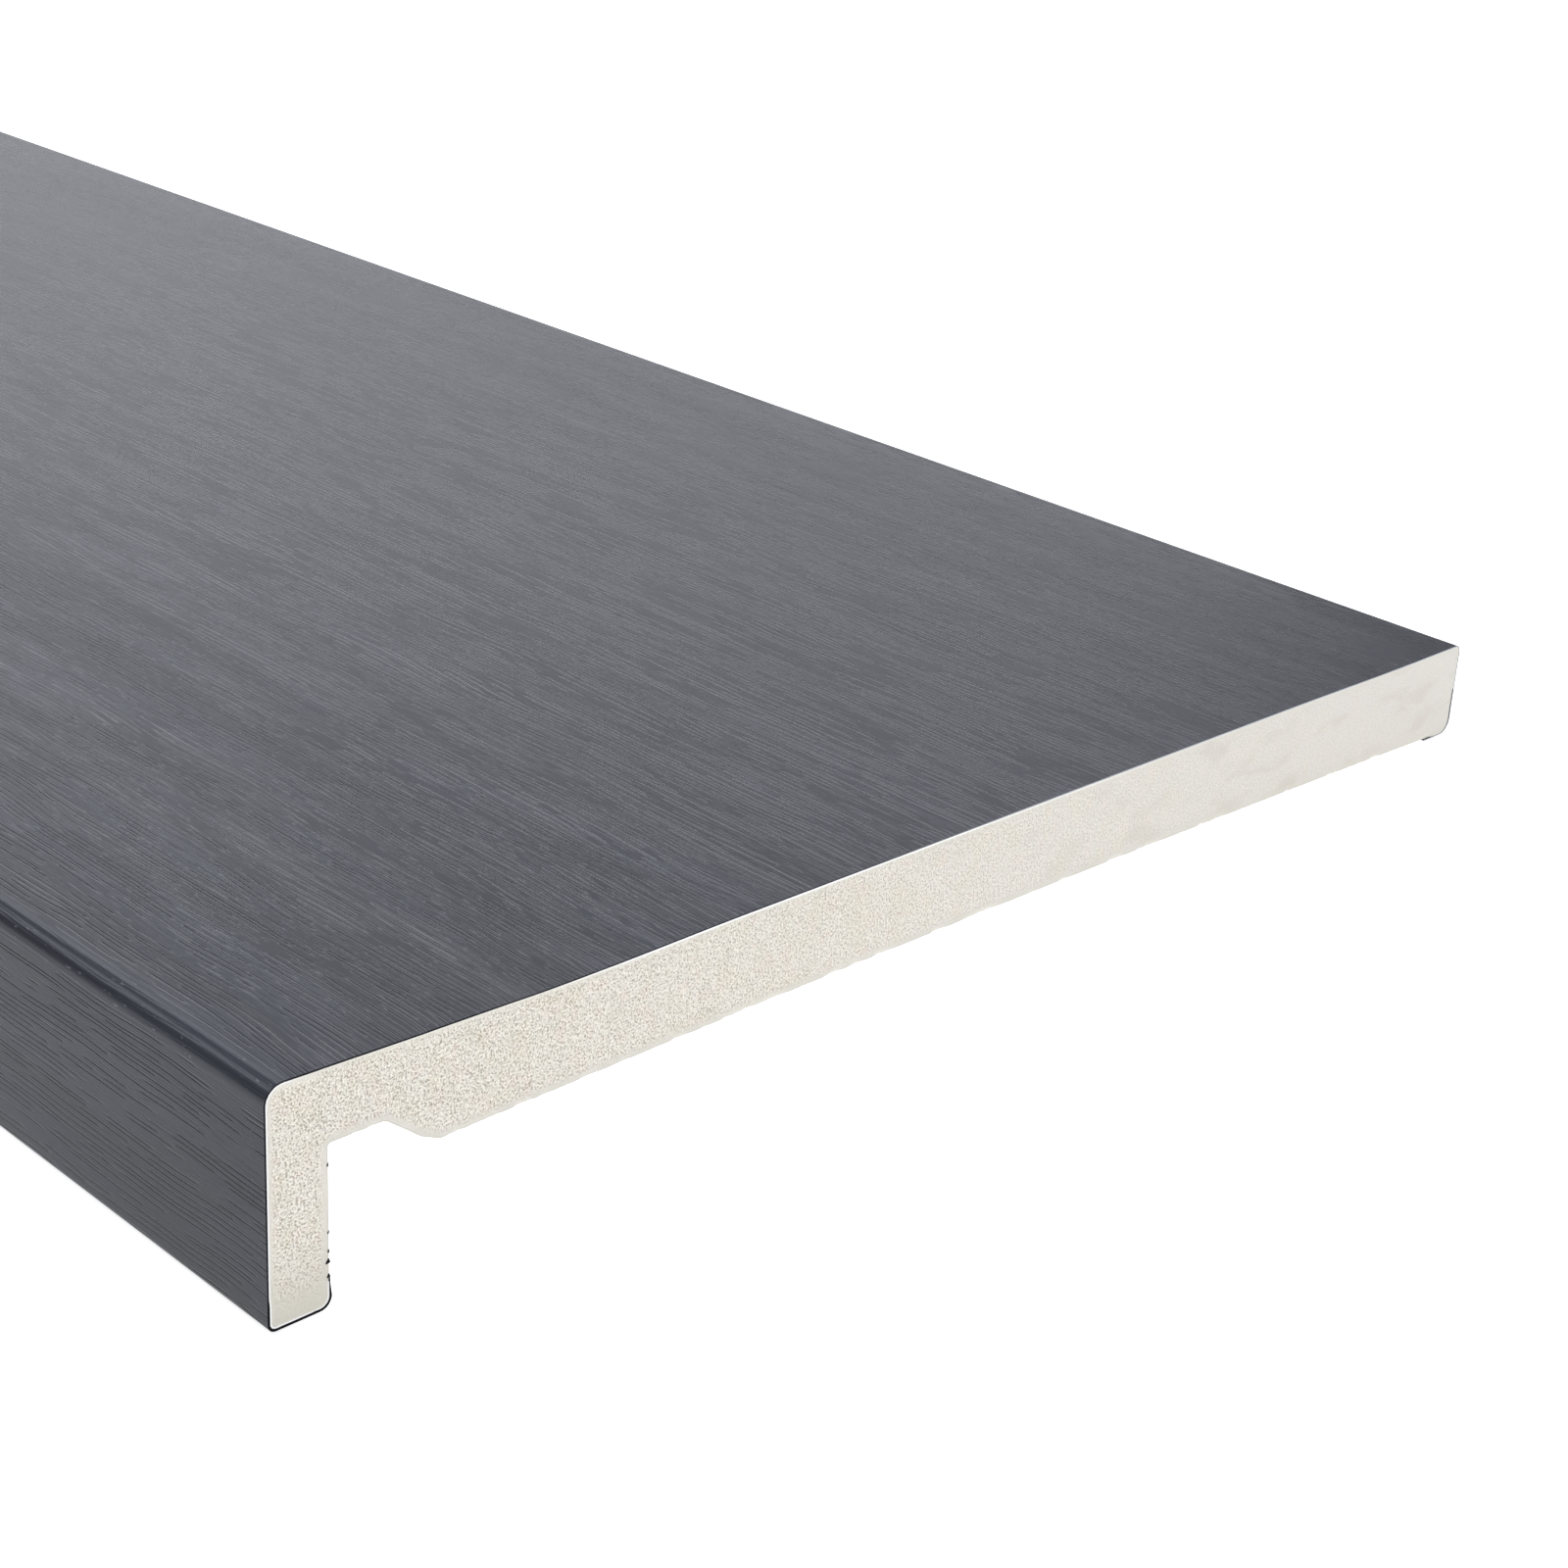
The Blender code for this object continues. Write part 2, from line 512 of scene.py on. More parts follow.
def sawn_foam(finish):
    """Open cells between the skins: mottled cream with pits darkened by painted shade, and a pale rim under
    the foil.
    """
    shader = Shader("sawn foamed PVC")
    place = shader.node("TexCoord", output="Object")
    depth = shader.attribute(SKIN_DEPTH)
    foil_depth = shader.attribute(FOIL_DEPTH)
    openness = shader.attribute(OPENNESS)
    cells = shader.clouds(place, even(finish.cell_size), 1.0)
    patches = shader.clouds(place, even(0.006), 2.0)
    tints = shader.clouds(place, even(0.0035), 1.0)
    smudges = shader.clouds(place, (1, 0.011, 0.005), 3.0)
    towards_back = shader.band(place, "Y", cad_low.y, TOWARDS_BACK)
    past_recess = shader.band(place, "Y", cad_low.y, PAST_RECESS)
    near_leg = shader.band(place, "Y", cad_low.y, NEAR_LEG)
    beside_leg = shader.band(place, "Y", cad_low.y, BESIDE_LEG)
    toe_darkening = shader.band(place, "Z", cad_low.z, TOE_DARKENING) * near_leg
    at_toe = shader.band(place, "Z", cad_low.z, TOE_RIM) * near_leg
    core = finish.core_colour
    layers = (
        (towards_back, (0.93, 0.935, 0.95)),
        (shader.step(patches, 0.48, 0.66) * openness, (0.97, 0.95, 0.88)),
        (shader.step(tints, 0.52, 0.68) * openness, (1.0, 0.95, 0.94)),
        (shader.step(tints, 0.48, 0.34) * openness * 0.7, (0.93, 0.94, 0.90)),
        # Pits of the open cells, darkened with painted shade
        (shader.step(cells, 0.50, 0.68) * openness * 0.95, (0.52, 0.46, 0.41)),
        (shader.step(cells, 0.50, 0.34) * openness * 0.9, (1.22, 1.23, 1.20)),
        (shader.step(smudges, 0.50, 0.70) * towards_back * 0.6, (0.82, 0.80, 0.77)),
        # Darker near the toe
        (toe_darkening * (1.0 - openness * 0.6), (0.78, 0.79, 0.76)),
        (shader.step(depth, 1.6, 0.5) * 0.5, (0.90, 0.91, 0.89)),
    )
    colour = shader.layered(core, layers)
    whiteness = beside_leg * 0.9 + past_recess * (1.0 - towards_back) * 0.9 + 0.1
    whiteness += at_toe * (1.0 - beside_leg) * 0.7
    white_rim = shader.step(foil_depth - at_toe * 0.14, 0.5, 0.3) * whiteness
    colour = shader.blend(white_rim, colour, shaded(finish.skin_colour, (1.1, 1.1, 1.12)))
    bare_rim = shader.step(depth, 0.30, 0.12) * shader.step(foil_depth, 0.4, 0.6)
    colour = shader.blend(bare_rim, colour, shaded(core, (0.80, 0.80, 0.79)))
    # The saw smeared the dark foil over the foam's rim, most at the toe
    smear = shader.step(foil_depth - near_leg * 0.08 - at_toe * 0.14, 0.1, 0.02)
    colour = shader.blend(smear * (1.0 - towards_back), colour, finish.edge_colour)
    normal = shader.bump(cells * openness, -finish.cell_depth)
    return shader.finish(Base_Color=colour, Roughness=0.9, Normal=normal, IOR=1.2)


def foam_skin(finish):
    """Smooth extruded skin with faint lines along the board."""
    shader = Shader("foamed PVC skin")
    place = shader.node("TexCoord", output="Object")
    lines = shader.clouds(place, (0.6, 0.0025, 0.0025), 3.0)
    marks = shader.clouds(place, even(0.05), 3.0)
    skin = finish.skin_colour
    colour = shader.layered(skin, ((shader.step(marks, 0.42, 0.62) * 0.6, (0.93, 0.92, 0.89)),))
    roughness = 0.38 + shader.step(lines, 0.35, 0.65) * 0.14
    normal = shader.bump(lines, 0.00008)
    return shader.finish(Base_Color=colour, Roughness=roughness, Normal=normal, IOR=1.5)


def woodgrain_foil(finish):
    """Satin anthracite with embossed grooves that run along the board and follow it round its edges."""
    shader = Shader("anthracite foil")
    along = shader.node("UVMap", {"uv_map": GRAIN_MAP})
    place = shader.node("TexCoord", output="Object")
    at_fold = shader.band(place, "Y", cad_low.y, FOLD_ACROSS) * shader.band(place, "Z", cad_high.z, FOLD_UP)
    at_cut = shader.band(place, "X", cad_high.x, NEAR_CUT)
    on_leg = shader.band(place, "Y", cad_low.y, LEG_ACROSS)

    drift = shader.clouds(along, (0.045, 0.014, 1), 1.0)
    waver = shader.clouds(along, (0.011, 0.004, 1), 1.0)
    shift = (drift - 0.5) * GRAIN_DRIFT + (waver - 0.5) * GRAIN_WAVER
    sideways = shader.node("CombineXYZ", {}, {"Y": shift})
    grain = shader.node("VectorMath", {"operation": "ADD"}, {0: along, 1: sideways})
    presence = shader.step(shader.clouds(grain, (0.030, 0.007, 1), 1.0), 0.30, 0.60)
    length = finish.grain_length
    spacing = finish.grain_spacing
    wide = grooves(shader, grain, length, spacing, WIDE_HALF, presence)
    fine = grooves(shader, grain, length * FINE_LENGTH, spacing * FINE_SPACING, FINE_HALF, presence)
    # The foil is pressed smooth where it goes round the fold
    embossed = shader.greater(wide, fine * FINE_DEPTH) * (1.0 - at_fold * 0.8)
    specks = shader.clouds(along, even(0.00035), 1.0)
    fibre = shader.bump(specks, 0.00001)
    normal = shader.bump(1.0 - embossed, finish.grain_depth, under=fibre)

    tone = shader.step(shader.clouds(along, (0.06, 0.012, 1), 2.0), 0.35, 0.65)
    nicked = shader.clouds(place, (0.0016, 0.0005, 0.0005), 1.0)
    nicks = shader.step(nicked, 0.71, 0.76) * (at_fold + at_cut * (1.0 - at_fold))
    foil = finish.foil_colour
    colour = shader.blend(tone, shaded(foil, (0.90, 0.87, 0.87)), shaded(foil, (1.1, 1.14, 1.14)))
    # Painted shade in the grooves, stronger on the leg than on the top
    colour = shader.blend(embossed * (on_leg * 0.6 + 0.2), colour, shaded(foil, (0.3, 0.3, 0.3)))
    colour = shader.blend(nicks * 0.7, colour, shaded(foil, (6, 6, 5)))
    roughness = finish.foil_roughness - embossed * 0.12 + (specks - 0.5) * 0.06
    return shader.finish(Base_Color=colour, Roughness=roughness, Normal=normal, IOR=finish.foil_index)


def grooves(shader, place, length, spacing, half_width, presence):
    """V-shaped grooves in rows along the board, broken at random places, and more where presence falls.

    half_width is a share of the spacing.
    """
    stretched = shader.node("Mapping", {}, {"Vector": place, "Scale": per_size((length, spacing, 1))})
    across = stretched.part("Y")
    row = shader.node("Math", {"operation": "FLOOR"}, {0: across})
    chance = shader.node("TexWhiteNoise", {"noise_dimensions": "1D"}, {"W": row})
    from_groove = across - row - ROW_INSET - chance * (1 - 2 * ROW_INSET)
    away = shader.node("Math", {"operation": "ABSOLUTE"}, {0: from_groove})
    along_row = stretched.part("X") + chance * ROW_SHIFT
    station = shader.node("CombineXYZ", {}, {"X": along_row, "Y": row * ROW_STEP})
    kept = shader.step(shader.noise(station, 1.0) + presence * PRESENCE_SHARE, *GROOVE_BEGINS)
    return shader.ramp(away, half_width, 0) * kept


def foil_edge(finish):
    """Cut edge of the foil: near black, torn a little by the saw, and paler towards the back, where a
    highlight is painted.
    """
    shader = Shader("foil cut edge")
    place = shader.node("TexCoord", output="Object")
    torn = shader.clouds(place, even(0.0006), 2.0)
    colour = shader.layered(finish.edge_colour, ((shader.step(torn, 0.4, 0.65), (3, 3, 3)),))
    far_side = shader.band(place, "Y", cad_low.y, EDGE_HIGHLIGHT_SIDE)
    # Towards the back the cut edge gets a painted highlight
    colour = shader.blend(far_side, colour, finish.edge_highlight_colour)
    return shader.finish(Base_Color=colour, Roughness=0.9, IOR=1.1)


def only(piece):
    """Deselect everything and make one object the selected, active one."""
    for other in bpy.context.view_layer.objects:
        other.select_set(False)
    piece.select_set(True)
    bpy.context.view_layer.objects.active = piece


def level_copy(node, name):
    """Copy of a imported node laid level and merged, with one face for each flat, left in edit mode."""
    mesh = frame["nodes"][node].data.copy()
    mesh.name = name
    mesh.materials.clear()
    mesh.transform(level_frame())
    piece = bpy.data.objects.new(name, mesh)
    bpy.context.scene.collection.objects.link(piece)
    only(piece)
    if mesh.has_custom_normals:
        bpy.ops.mesh.customdata_custom_splitnormals_clear()
    bpy.ops.object.mode_set(mode="EDIT")
    bpy.ops.mesh.select_mode(type="FACE")
    bpy.ops.mesh.select_all(action="SELECT")
    bpy.ops.mesh.remove_doubles(threshold=MERGE_DISTANCE)
    bpy.ops.mesh.dissolve_limited(angle_limit=FLAT_ANGLE, delimit=set())
    for side in (-1, 1):
        select_where(piece, "faces", lambda face: face.normal.x * side > SIDE_NORMAL)
        bpy.ops.mesh.dissolve_faces()
    return piece


def select_where(piece, kind, wanted):
    """In edit mode, select only the faces, edges or verts for which wanted is true."""
    bpy.ops.mesh.select_mode(type=SELECT_MODES[kind])
    bpy.ops.mesh.select_all(action="DESELECT")
    edited = bmesh.from_edit_mesh(piece.data)
    found = [part for part in getattr(edited, kind) if wanted(part)]
    if not found:
        raise RuntimeError(f"{piece.name} has no such {kind}")
    for part in found:
        part.select_set(True)
    edited.select_flush_mode()
    bmesh.update_edit_mesh(piece.data)


def cut_across(point, normal):
    """In edit mode, a loop through the selected faces where a plane crosses them."""
    bpy.ops.mesh.bisect(plane_co=point, plane_no=normal)


def end_outline(piece):
    """In edit mode, the (y, z) points round the level piece's end."""
    edited = bmesh.from_edit_mesh(piece.data)
    ends = [face for face in edited.faces if face.normal.x > SIDE_NORMAL]
    end = max(ends, key=lambda face: face.calc_area())
    return np.array([(loop.vert.co.y, loop.vert.co.z) for loop in end.loops])


def distance_to_outline(points, outline):
    """Shortest distance in the section from each (y, z) point to a closed outline."""
    nearest = np.full(len(points), np.inf)
    for corner, following in zip(outline, np.roll(outline, -1, axis=0)):
        side = following - corner
        share = np.clip((points - corner) @ side / (side @ side), 0, 1)
        gap = points - corner - share[:, None] * side
        nearest = np.minimum(nearest, np.hypot(gap[:, 0], gap[:, 1]))
    return nearest


def foil_rims(outline):
    """Height of the foil's edge up the leg's inner side, and distance of its edge under the back."""
    across = outline[:, 0]
    on_leg = (across > LEG_INNER - TOUCH_DISTANCE) & (across < LEG_INNER + TOUCH_DISTANCE * 2)
    under_back = (across > across.mean()) & (outline[:, 1] < BACK_HEIGHT + TOUCH_DISTANCE)
    return outline[on_leg, 1].max(), outline[under_back, 0].min()


def dip(across):
    """How far the face lies below its flat at a distance from the leg."""
    depth = 0
    for centre, half_width, deepest in FACE_DIPS:
        reach = np.clip((np.asarray(across) - centre) / half_width, -1, 1)
        depth = depth + deepest * (1 + np.cos(pi * reach)) / 2
    return depth


def lower_face(piece):
    """Give the flat of the face its shallow dips, on a level piece in object mode."""
    places = mesh_places(piece)
    on_face = places[:, 2] > -FACE_WALL
    places[on_face, 2] -= dip(places[on_face, 1])
    set_places(piece, places)


def mesh_places(piece):
    """The places of a mesh's points, one in each row."""
    places = np.empty(len(piece.data.vertices) * 3, np.float32)
    piece.data.vertices.foreach_get("co", places)
    return places.reshape(-1, 3).astype(float)


def set_places(piece, places):
    piece.data.vertices.foreach_set("co", places.astype(np.float32).ravel())
    piece.data.update()


def stations(low, high, spacing):
    """Evenly spaced places between two ends, without the ends."""
    count = round((high - low) / spacing)
    return [low + (high - low) * step / count for step in range(1, count)]


def put_in_place(piece, slot, *nodes):
    """Tip a level piece back to where the board lies, and hand it to the frame."""
    piece.data.transform(level_frame().inverted())
    piece.data.update()
    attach(piece, "root")
    if nodes:
        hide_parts(*nodes)


def openness_at(points, depth):
    """From 0 to 1, how open the cells are at (y, z) points of a sawn end, by their distance from the skin."""
    under_face = (points[:, 1] > -UNDER_FACE_DEPTH) & (points[:, 0] > UNDER_FACE_START)
    inward = np.clip((depth - SKIN) / SKIN_TO_CORE, 0, 1)
    inward[under_face] = np.clip((depth[under_face] - FACE_SKIN) / FACE_SKIN_TO_CORE, 0, 1)
    toe = np.clip((points[:, 1] - UNDER_TOE - TOE_SKIN) / TOE_TO_CORE, TOE_OPENNESS, 1)
    across = np.interp(points[:, 0], *zip(*OPENNESS_ACROSS))
    return inward * toe * across


def sawn_relief(points, depth, seed):
    """How far a sawn end lies behind the saw's plane at (y, z) points."""
    rng = np.random.default_rng(seed)
    openness = openness_at(points, depth)
    crumbs = rng.random(len(points))
    lumps = np.array([noise.noise(Vector((y * LUMP_RATE, z * LUMP_RATE, seed))) for y, z in points])
    waves = np.array([noise.noise(Vector((y * WAVE_RATE, seed, 0.5))) for y, z in points])
    bites = np.array([noise.noise(Vector((y * BITE_RATE, seed, 4.5))) for y, z in points])
    relief = CUT_DEPTH + openness * (crumbs * CRUMB_DEPTH + (lumps + LUMP_LIFT) * LUMP_DEPTH)
    underside = (points[:, 1] < BACK_HEIGHT + CHIP_HEIGHT) & (points[:, 0] > LEG_INNER + CHIP_START)
    at_edge = np.clip(1 - depth / CHIP_REACH, 0, 1) * underside
    chips = np.clip(waves + bites * BITE_SHARE + CHIP_LIFT, 0, 1) * CHIP_DEPTH
    return relief + at_edge * chips


def saw_block(side, outline, seed):
    """Closed block that stands for what the saw took away at one end, its inner side the rough cut."""
    low = outline.min(axis=0) - CUT_MARGIN
    high = outline.max(axis=0) + CUT_MARGIN
    width, height = high - low
    middle = (low + high) / 2
    bpy.ops.mesh.primitive_grid_add(
        x_subdivisions=round(width / CUT_SPACING),
        y_subdivisions=round(height / CUT_SPACING),
        size=1,
        location=(side * cad_high.x, middle[0], middle[1]),
        rotation=(pi / 2, 0, pi / 2),
    )
    block = bpy.context.object
    block.scale = (width, height, 1)
    bpy.ops.object.transform_apply()
    places = mesh_places(block)
    sections = places[:, 1:]
    depth = distance_to_outline(sections, outline)
    places[:, 0] -= side * sawn_relief(sections, depth, seed)
    set_places(block, places)
    bpy.ops.object.mode_set(mode="EDIT")
    select_where(block, "edges", lambda edge: edge.is_boundary)
    bpy.ops.mesh.extrude_region_move(TRANSFORM_OT_translate={"value": (side * CUT_BLOCK, 0, 0)})
    bpy.ops.mesh.edge_face_add()
    bpy.ops.mesh.select_all(action="SELECT")
    bpy.ops.mesh.normals_make_consistent(inside=False)
    bpy.ops.object.mode_set(mode="OBJECT")
    return block


def saw_off(piece, block):
    """Take a block away from a piece."""
    only(piece)
    cut = piece.modifiers.new("saw", "BOOLEAN")
    cut.operation = "DIFFERENCE"
    cut.solver = "MANIFOLD"
    cut.object = block
    bpy.ops.object.modifier_apply(modifier=cut.name)
    bpy.data.objects.remove(block)


class FASCIA_OT_foam_board(bpy.types.Operator):
    """Foamed board with both ends sawn through its open cells"""

    bl_idname = "fascia.foam_board"
    bl_label = "Foamed Board"
    bl_options = {"REGISTER", "UNDO"}

    def execute(self, context):
        finish = context.scene.fascia_finish
        foil = level_copy("woodgrain_foil", "foil_guide")
        foil_outline = end_outline(foil)
        bpy.ops.object.mode_set(mode="OBJECT")
        bpy.data.objects.remove(foil)
        board = level_copy("foam_board", "foamed_board")
        self.meet_foil(board, foil_outline)
        self.cut_stations(board)
        bpy.ops.object.mode_set(mode="OBJECT")
        lower_face(board)
        bpy.ops.object.mode_set(mode="EDIT")
        outline = end_outline(board)
        self.lengthen(board)
        bpy.ops.object.mode_set(mode="OBJECT")
        for side in (-1, 1):
            saw_off(board, saw_block(side, outline, seed=11 + side))
        board.data.materials.clear()
        board.data.materials.append(foam_skin(finish))
        board.data.materials.append(sawn_foam(finish))
        self.mark_ends(board, outline, foil_outline)
        only(board)
        bpy.ops.object.shade_smooth_by_angle(angle=SHARP_ANGLE)
        put_in_place(board, "foamed_pvc", "foam_board")
        return {"FINISHED"}

    def meet_foil(self, board, foil_outline):
        """Swell what the foil covers until it touches the foil's inner side."""
        leg_rim, back_rim = foil_rims(foil_outline)

        def on_inner_side(face):
            return face.normal.y > SIDE_NORMAL and face.calc_center_median().y < LEG_INNER + RIM_REACH

        select_where(board, "faces", on_inner_side)
        cut_across((0, 0, leg_rim), (0, 0, 1))
        select_where(board, "faces", lambda face: face.normal.z < -SIDE_NORMAL)
        cut_across((0, back_rim, 0), (0, 1, 0))

        def covered(vert):
            near = distance_to_outline(np.array([(vert.co.y, vert.co.z)]), foil_outline)[0]
            at_leg_rim = abs(vert.co.z - leg_rim) < MERGE_DISTANCE and vert.co.y < LEG_INNER + RIM_REACH
            return near < TOUCH_DISTANCE and not at_leg_rim

        select_where(board, "verts", covered)
        bpy.ops.transform.shrink_fatten(value=FOIL_CLEARANCE, use_even_offset=True)

    def cut_stations(self, board):
        """Loops across the face, and one behind each end."""
        for across in stations(FACE_START, FACE_END, FACE_STATION):
            select_where(board, "faces", lambda face: face.normal.z > SIDE_NORMAL)
            cut_across((0, across, 0), (0, 1, 0))
        for side in (-1, 1):
            bpy.ops.mesh.select_all(action="SELECT")
            cut_across((side * (cad_high.x - END_BAND), 0, 0), (1, 0, 0))

    def lengthen(self, board):
        """Push both ends out by what the saw then takes off."""
        for side in (-1, 1):
            select_where(board, "faces", lambda face: face.normal.x * side > SIDE_NORMAL)
            bpy.ops.transform.translate(value=(side * CUT_ALLOWANCE, 0, 0))

    def mark_ends(self, board, outline, foil_outline):
        """Attributes and material for the sawn faces."""
        mesh = board.data
        places = mesh_places(board)
        depth = distance_to_outline(places[:, 1:], outline)
        undipped = places[:, 1:].copy()
        on_face = places[:, 2] > -FACE_WALL
        undipped[on_face, 1] += dip(places[on_face, 1])
        foil_depth = distance_to_outline(undipped, foil_outline)
        at_end = np.abs(places[:, 0]) > cad_high.x - END_SHARE
        marks = {
            SKIN_DEPTH: depth / MILLIMETRE,
            FOIL_DEPTH: foil_depth / MILLIMETRE,
            OPENNESS: openness_at(places[:, 1:], depth) * at_end,
        }
        for name, values in marks.items():
            attribute = mesh.attributes.new(name, "FLOAT", "POINT")
            attribute.data.foreach_set("value", values.astype(np.float32))
        centres = np.empty(len(mesh.polygons) * 3, np.float32)
        mesh.polygons.foreach_get("center", centres)
        centres = centres.reshape(-1, 3)
        inside = distance_to_outline(centres[:, 1:].astype(float), outline) > MERGE_DISTANCE
        sawn = (np.abs(centres[:, 0]) > cad_high.x - END_SHARE) & inside
        mesh.polygons.foreach_set("material_index", sawn.astype(np.int32))


class FASCIA_OT_foil_wrap(bpy.types.Operator):
    """Woodgrain foil round the face, the leg, the toe and the back edge"""

    bl_idname = "fascia.foil_wrap"
    bl_label = "Woodgrain Foil"
    bl_options = {"REGISTER", "UNDO"}

    def execute(self, context):
        finish = context.scene.fascia_finish
        wrap = level_copy("woodgrain_foil", "foil_wrap")
        outline = end_outline(wrap)
        rims = foil_rims(outline)
        for across in stations(FACE_START, FACE_END, FACE_STATION):
            select_where(wrap, "faces", lambda face: abs(face.normal.z) > SIDE_NORMAL)
            cut_across((0, across, 0), (0, 1, 0))
        select_where(wrap, "edges", self.runs_along)
        count = round(2 * cad_high.x / LENGTH_STATION)
        bpy.ops.mesh.subdivide(number_cuts=count - 1)
        bpy.ops.object.mode_set(mode="OBJECT")
        self.unroll(wrap, outline)
        self.tear_rims(wrap, rims)
        lower_face(wrap)
        wrap.data.materials.append(woodgrain_foil(finish))
        wrap.data.materials.append(foil_edge(finish))
        self.mark_edges(wrap)
        only(wrap)
        bpy.ops.object.shade_smooth_by_angle(angle=SHARP_ANGLE)
        put_in_place(wrap, "anthracite_foil", "woodgrain_foil")
        return {"FINISHED"}

    def runs_along(self, edge):
        start, end = edge.verts
        return abs((start.co - end.co).x) > LONG_EDGE

    def outer_path(self, outline):
        """The outer half of the foil's outline, from its edge under the back to its edge inside the leg."""
        sides = np.linalg.norm(np.roll(outline, -1, axis=0) - outline, axis=1)
        rims = sorted(np.argsort(sides)[:2])
        first, second = (int(rim) + 1 for rim in rims)
        halves = outline[first:second], np.concatenate((outline[second:], outline[:first]))
        return max(halves, key=lambda half: np.linalg.norm(np.diff(half, axis=0), axis=1).sum())

    def unroll(self, wrap, outline):
        """UV map in metres: along the board, and round the section."""
        path = self.outer_path(outline)
        runs = np.diff(path, axis=0)
        lengths = np.linalg.norm(runs, axis=1)
        starts = np.concatenate(([0], np.cumsum(lengths)[:-1]))
        places = mesh_places(wrap)
        nearest = np.full(len(places), np.inf)
        around = np.zeros(len(places))
        for corner, run, length, start in zip(path, runs, lengths, starts):
            share = np.clip((places[:, 1:] - corner) @ run / length**2, 0, 1)
            gap = np.linalg.norm(places[:, 1:] - corner - share[:, None] * run, axis=1)
            closer = gap < nearest
            nearest[closer] = gap[closer]
            around[closer] = (start + share * length)[closer]
        corners = np.empty(len(wrap.data.loops), np.int32)
        wrap.data.loops.foreach_get("vertex_index", corners)
        layer = wrap.data.uv_layers.new(name=GRAIN_MAP)
        flat = np.stack((places[corners, 0], around[corners]), axis=1)
        layer.data.foreach_set("uv", flat.astype(np.float32).ravel())

    def tear_rims(self, wrap, rims):
        """The blade left the foil's two edges a little uneven, and the one on the leg is pressed down."""
        leg_rim, back_rim = rims
        places = mesh_places(wrap)
        along, across, height = places.T
        waver = np.array([self.waver(x) for x in along])
        on_leg = (np.abs(height - leg_rim) < RIM_REACH) & (across < LEG_INNER + RIM_SIDE)
        on_leg &= across > LEG_INNER - RIM_REACH
        on_back = (np.abs(across - back_rim) < RIM_REACH) & (height < BACK_HEIGHT + RIM_REACH)
        places[on_leg, 1] -= FOIL_CLEARANCE
        places[on_leg, 2] += waver[on_leg] * LEG_RIM_WAVER
        places[on_back, 1] += waver[on_back] * BACK_RIM_WAVER
        set_places(wrap, places)

    def waver(self, along):
        """The blade's noise at a distance along the board."""
        return sum(noise.noise(Vector((along * rate, row, 0))) for rate, row in BLADE_NOISE)

    def mark_edges(self, wrap):
        """The sawn ends and the two cut edges get their own material."""
        for face in wrap.data.polygons:
            ends = abs(face.normal.x) > SIDE_NORMAL
            sides = [wrap.data.vertices[corner].co.yz for corner in face.vertices]
            width = max((side - sides[0]).length for side in sides)
            face.material_index = int(ends or (width < RIM_WIDTH and self.is_rim(face)))

    def is_rim(self, face):
        """Whether a face looks up inside the leg, or towards the leg under the back."""
        up_in_leg = face.normal.z > SIDE_NORMAL and face.center.z < BACK_HEIGHT
        under_back = face.normal.y < -SIDE_NORMAL and face.center.y > LEG_INNER
        return up_in_leg or under_back


class FASCIA_OT_foil_shreds(bpy.types.Operator):
    """Shreds of foil that the saw dragged over the leg's inner edge at the near end"""

    bl_idname = "fascia.foil_shreds"
    bl_label = "Foil Shreds"
    bl_options = {"REGISTER", "UNDO"}

    def execute(self, context):
        first = self.shred(context)
        copies = [self.copied(first, *row) for row in SHREDS]
        bpy.data.objects.remove(first)
        only(copies[0])
        for made in copies:
            made.select_set(True)
        bpy.ops.object.join()
        shreds = bpy.context.object
        shreds.name = "foil_shreds"
        put_in_place(shreds, "anthracite_foil")
        return {"FINISHED"}

    def shred(self, context):
        """One flake, a metre in size: its tip points to the leg's outer side, its root lies on the edge."""
        # No material reads a UV map here, and bevelling one gives other values at each run
        bpy.ops.mesh.primitive_cube_add(size=1, calc_uvs=False)
        flake = bpy.context.object
        bpy.ops.object.mode_set(mode="EDIT")
        select_where(flake, "faces", lambda face: face.normal.y < -SIDE_NORMAL)
        bpy.ops.transform.resize(value=TIP_SCALE)
        bpy.ops.transform.translate(value=(0, 0, TIP_DROP))
        bpy.ops.mesh.select_all(action="SELECT")
        bpy.ops.mesh.bevel(offset=FLAKE_BEVEL, segments=1)
        bpy.ops.object.mode_set(mode="OBJECT")
        flake.data.materials.append(foil_edge(context.scene.fascia_finish))
        return flake

    def copied(self, first, across, height, width, length, turn):
        """A copy of the flake at a place of the level board's sawn end."""
        only(first)
        bpy.ops.object.duplicate()
        made = bpy.context.object
        size = Matrix.Diagonal((SHRED_THICKNESS, width, length, 1))
        spot = Vector((cad_high.x, across, height))
        made.data.transform(Matrix.Translation(spot) @ Matrix.Rotation(turn, 4, "X") @ size)
        return made


